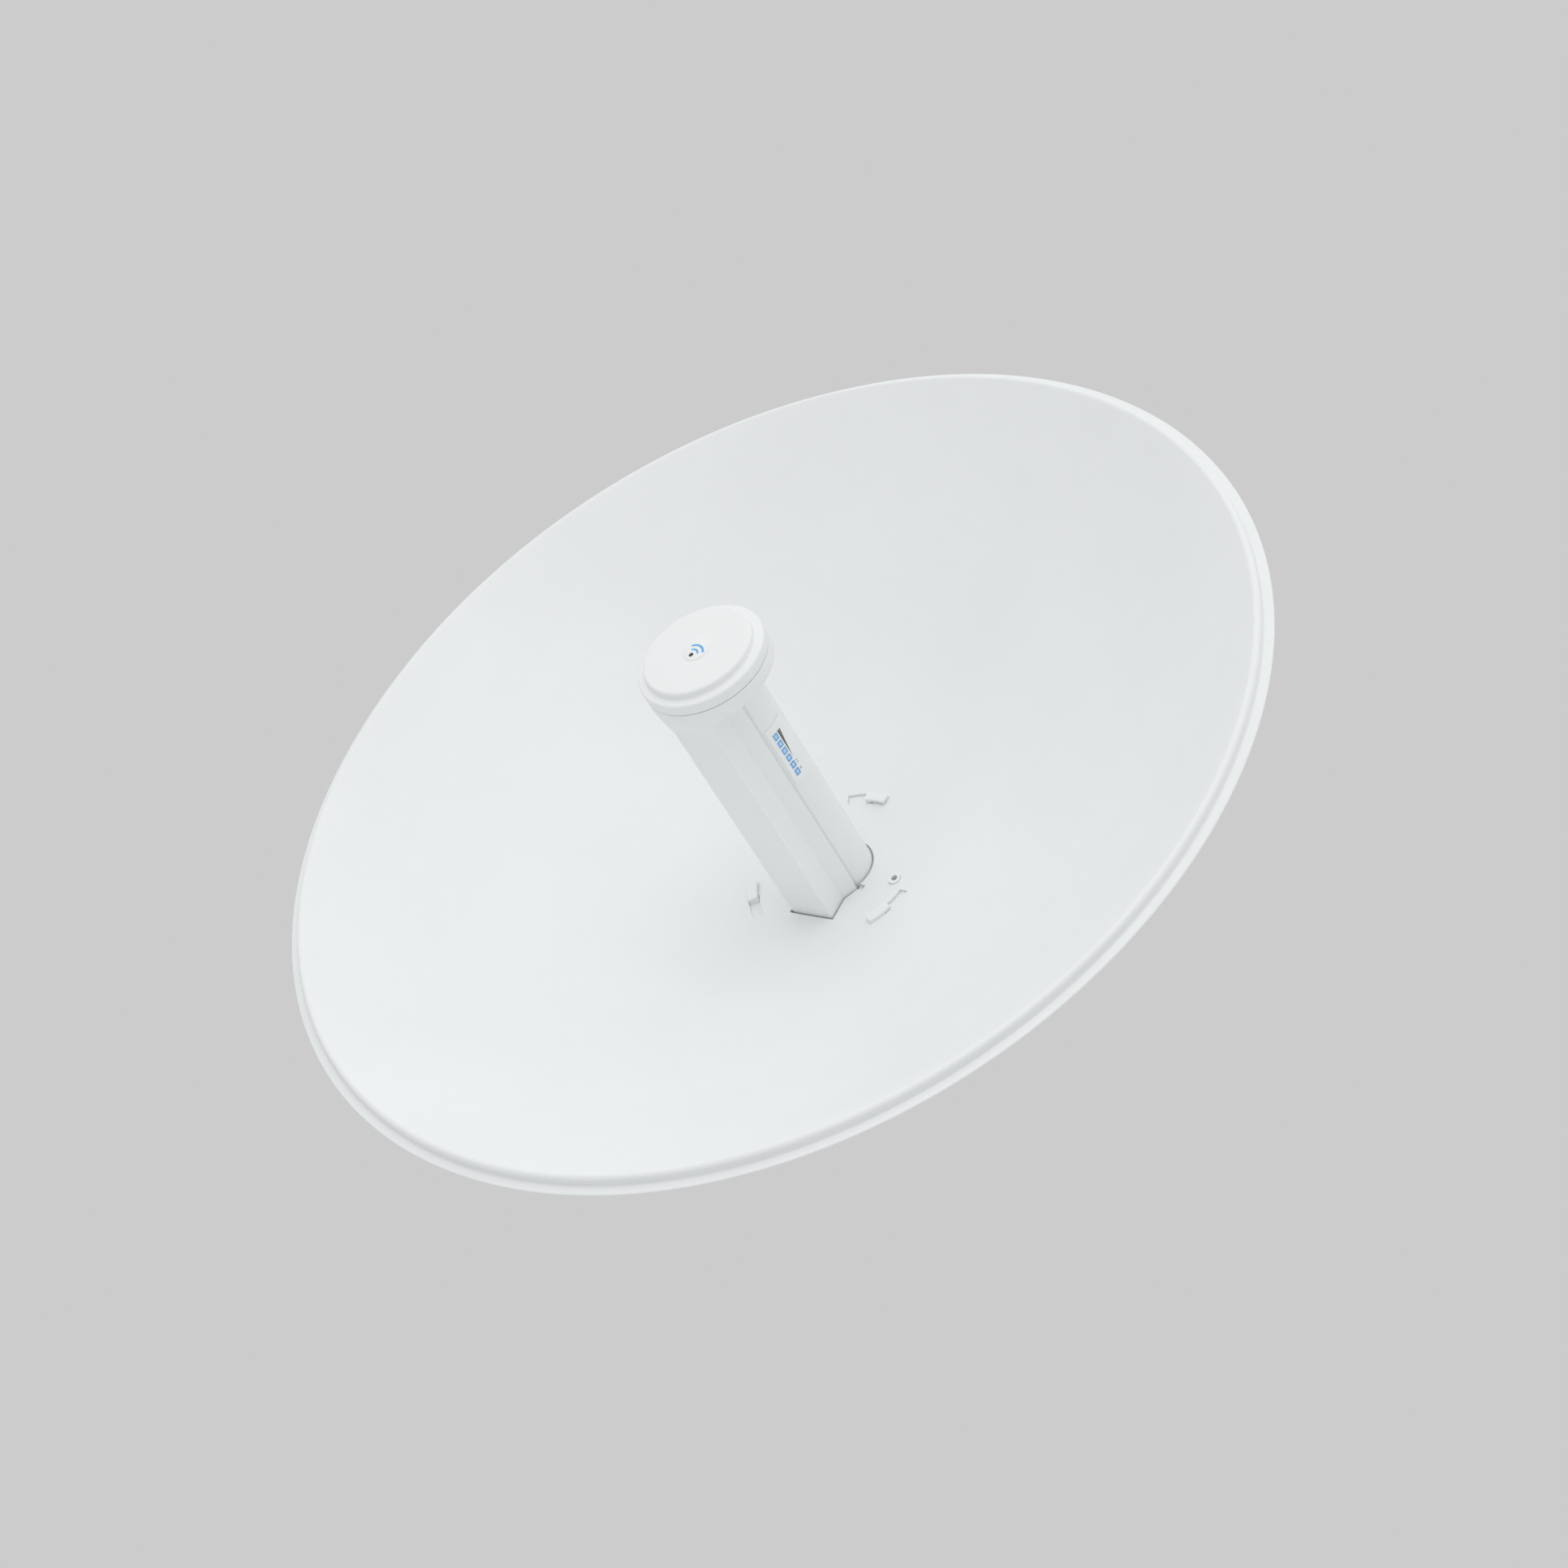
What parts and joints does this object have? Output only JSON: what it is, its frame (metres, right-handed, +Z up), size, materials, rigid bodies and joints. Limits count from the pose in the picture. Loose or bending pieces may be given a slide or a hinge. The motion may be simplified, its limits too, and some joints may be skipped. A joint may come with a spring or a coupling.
{
  "type": "satellite dish",
  "caption": "Round parabolic dish with a radio in its centre feed tube, on a tilting bracket that clamps to a pole.",
  "frame": {"origin": "on the pole's axis, at the middle height of the clamp", "axes": "+Z up along the pole, the dish looks along -Y, +X to the right of a viewer who faces the bowl"},
  "size_m": [0.6462, 0.3873, 0.6462],
  "materials": {
    "coated_sheet": "white powder coat, satin",
    "white_plastic": "fine moulded grain, satin",
    "grey_plastic": "fine moulded grain",
    "dark_plastic": "smooth",
    "dark_rubber": "matte",
    "label_film": "printed film, satin",
    "badge_film": "printed film, satin",
    "light_guide": "clear light guide, pale blue",
    "circuit_board": "solder mask",
    "tinned_steel": "tin plate",
    "bare_aluminium": "milled",
    "zinc_steel": "zinc plated",
    "spring_steel": "bright drawn",
    "coated_steel": "white powder coat on galvanised sheet",
    "coated_casting": "grey powder coat on a casting",
    "yellow_brass": "brass with a green-yellow tint"
  },
  "bodies": {
    "pole_mount": {"pole_bracket": "coated_casting", "clamp_nuts": "zinc_steel", "tilt_bolt": "zinc_steel", "tilt_washers": "zinc_steel", "tilt_nut": "zinc_steel", "tilt_spacer": "grey_plastic", "lock_bolt": "zinc_steel", "lock_washers": "zinc_steel", "lock_nut": "zinc_steel", "lock_spacer": "grey_plastic", "ground_screw": "yellow_brass"},
    "dish": {"reflector": "coated_sheet", "rear_hub": "white_plastic", "hub_gasket": "dark_rubber", "latch_spring": "spring_steel", "door_pin": "spring_steel", "feed_lower_shell": "white_plastic", "feed_upper_shell": "white_plastic", "status_label": "label_film", "light_pipes": "light_guide", "radio_board": "circuit_board", "board_screws": "zinc_steel", "shield_can": "tinned_steel", "heat_spreader": "bare_aluminium", "network_jack": "tinned_steel", "reset_switch": "dark_plastic", "head_collar": "white_plastic", "feed_cap": "white_plastic", "cap_seal": "dark_rubber", "antenna_board": "circuit_board", "feed_spacer": "white_plastic", "sub_reflector": "bare_aluminium", "collar_screws": "zinc_steel", "cap_badge": "badge_film", "tilt_bracket": "coated_steel", "hub_screws": "zinc_steel"},
    "clamp": {"clamp_jaw": "coated_casting", "clamp_bolts": "zinc_steel", "clamp_washers": "zinc_steel"},
    "latch": {"release_latch": "grey_plastic"},
    "door": {"port_door": "white_plastic", "cable_grommet": "dark_rubber"},
    "reset": {"reset_button": "dark_plastic"}
  },
  "joints": [
    {"name": "elevation_tilt", "type": "hinge", "parent": "pole_mount", "child": "dish", "pos_m": [0, -0.0695, 0.017], "axis": [-1, 0, 0], "range_deg": [-20, 20]},
    {"name": "clamp_slide", "type": "slide", "parent": "pole_mount", "child": "clamp", "axis": [0, 1, 0], "range_m": [-0.008, 0.01]},
    {"name": "latch_press", "type": "slide", "parent": "dish", "child": "latch", "axis": [0, 0, -1], "range_m": [0, 0.0035], "stiffness_N_per_m": 600, "springref_m": -0.002, "deforming": ["latch_spring"]},
    {"name": "door_hinge", "type": "hinge", "parent": "dish", "child": "door", "pos_m": [0, -0.1317, -0.05955], "axis": [-1, 0, 0], "range_deg": [0, 90]},
    {"name": "reset_press", "type": "slide", "parent": "dish", "child": "reset", "axis": [0, 0, 1], "range_m": [0, 0.0008], "stiffness_N_per_m": 800, "springref_m": -0.0004}
  ]
}
